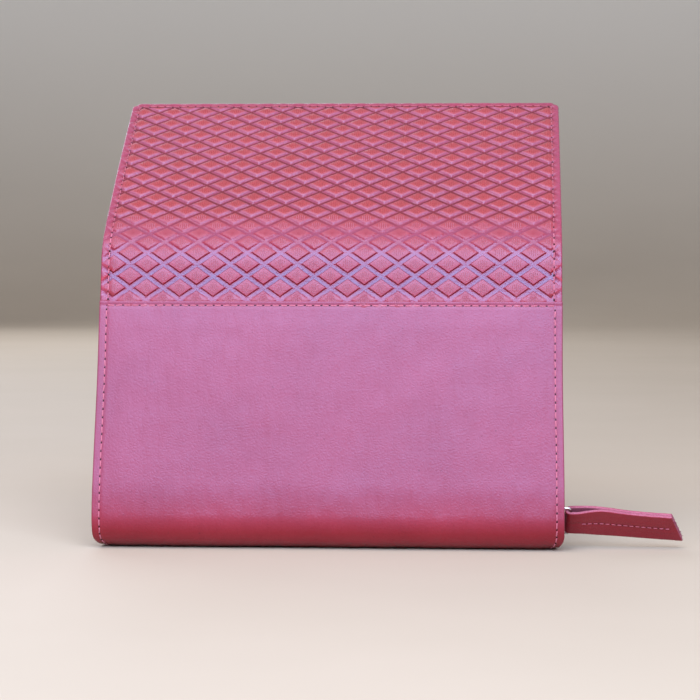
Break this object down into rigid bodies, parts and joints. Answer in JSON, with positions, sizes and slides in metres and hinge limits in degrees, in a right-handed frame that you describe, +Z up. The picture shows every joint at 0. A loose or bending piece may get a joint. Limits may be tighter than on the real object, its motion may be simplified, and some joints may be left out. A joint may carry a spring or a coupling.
{
  "type": "leather notebook cover",
  "caption": "Zip-round leather notebook cover with an embossed magnetic flap over its fore edge, a rounded spine and a leather zip puller, standing on its spine.",
  "frame": {"origin": "middle of the narrow flat that the spine rests on", "axes": "+X along the spine, towards the zip puller; +Y from the plain back cover to the front cover; +Z up as it stands on its spine"},
  "size_m": [0.2863, 0.14, 0.2218],
  "materials": {
    "plain_leather": "semi-gloss fine grain, wine red",
    "embossed_leather": "semi-gloss, embossed diamond pads, wine red",
    "puller_leather": "satin, raw cut edges, wine red",
    "lining": "matt woven lining, dark red",
    "pocket": "thin satin leather, dark red",
    "board": "matt grey board",
    "zip_tape": "matt herringbone tape, dark red",
    "zip_coil": "satin nylon coil, dark red",
    "nickel": "polished nickel plate",
    "magnet": "plated magnet",
    "card": "matt kraft card",
    "paper": "matt cream paper edges"
  },
  "bodies": {
    "back": {"back_leather": "plain_leather", "embossed_yoke": "embossed_leather", "back_board": "board", "spine_stay": "board", "back_lining": "lining", "back_slip_pocket": "pocket", "notebook_back_card": "card", "page_block": "paper", "notebook_spine": "card", "zip_tape_back": "zip_tape", "zip_coil_back": "zip_coil", "zip_stops": "nickel"},
    "front": {"front_leather": "plain_leather", "front_board": "board", "front_lining": "lining", "front_slip_pocket": "pocket", "notebook_front_card": "card", "cover_magnets": "magnet", "card_pocket_upper": "pocket", "card_pocket_lower": "pocket", "zip_tape_front": "zip_tape", "zip_coil_front": "zip_coil"},
    "bridge": {"bridge_leather": "embossed_leather", "bridge_lining": "lining"},
    "flap": {"flap_leather": "embossed_leather", "flap_lining": "lining", "flap_magnets": "magnet"},
    "slider": {"slider_body": "nickel"},
    "tab": {"pull_tab": "nickel"},
    "ring": {"pull_ring": "nickel"},
    "puller": {"leather_puller": "puller_leather"}
  },
  "joints": [
    {"name": "flap_crease_low", "type": "hinge", "parent": "back", "child": "bridge", "pos_m": [0, 0.01425, 0.1458], "axis": [-1, 0, 0], "range_deg": [-17.45, 51.7]},
    {"name": "flap_crease_high", "type": "hinge", "parent": "bridge", "child": "flap", "pos_m": [0, 0.02962, 0.15824], "axis": [-1, 0, 0], "range_deg": [-26.38, 78.12]},
    {"name": "front_cover_hinge", "type": "hinge", "parent": "back", "child": "front", "pos_m": [0, 0.01859, 0.01595], "axis": [-1, 0, 0], "range_deg": [0, 173]},
    {"name": "slider_travel", "type": "slide", "parent": "back", "child": "slider", "axis": [0, 0.165, 0.9863], "range_m": [0, 0.1]},
    {"name": "tab_swing", "type": "hinge", "parent": "slider", "child": "tab", "pos_m": [0.1088, 0.00054, 0.0139], "axis": [0, 0.9863, -0.165], "range_deg": [-22, 18]},
    {"name": "ring_swing", "type": "hinge", "parent": "tab", "child": "ring", "pos_m": [0.11289, 0.0005, 0.01367], "axis": [0.0441, -0.6428, 0.7648], "range_deg": [-30, 30]},
    {"name": "puller_swing", "type": "hinge", "parent": "ring", "child": "puller", "pos_m": [0.11764, 0.0005, 0.0134], "axis": [0.0441, -0.6428, 0.7648], "range_deg": [-28, 28]}
  ],
  "couplings": [
    {"joint": "flap_crease_high", "follows": "flap_crease_low", "ratio": 1.5106}
  ]
}
